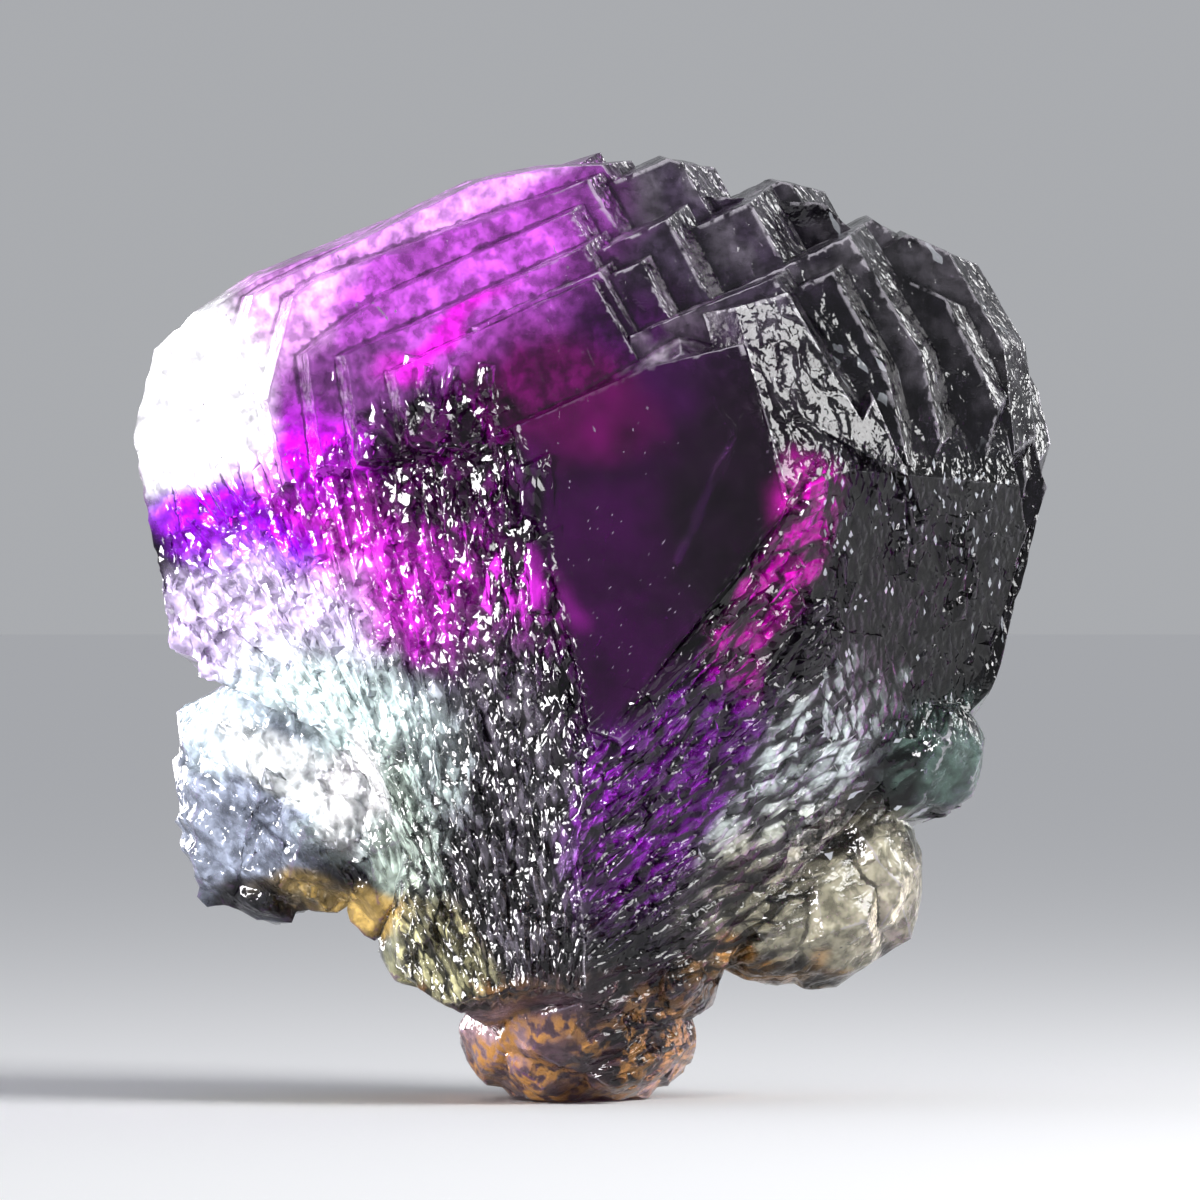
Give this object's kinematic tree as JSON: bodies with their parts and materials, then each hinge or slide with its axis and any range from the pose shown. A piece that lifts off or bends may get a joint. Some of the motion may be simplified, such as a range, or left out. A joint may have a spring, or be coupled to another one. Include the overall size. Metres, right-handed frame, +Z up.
{
  "type": "fluorite octahedron",
  "caption": "Natural purple fluorite octahedron in stepped growth plates, with etched long faces, pale lobes and a stained root that it stands on.",
  "frame": {"origin": "on the flat cut of the root, under the middle of the crystal", "axes": "+Z up, away from the cut; +Y from the smooth octahedral face to the back; +X to the dark side"},
  "size_m": [0.0612, 0.0391, 0.0633],
  "materials": {
    "fluorite": "natural translucent crystal: deep purple to violet, white and pale green at one side, dark at the other, etched faces with a vitreous lustre"
  },
  "bodies": {
    "root": {"fluorite": "fluorite"}
  },
  "joints": []
}
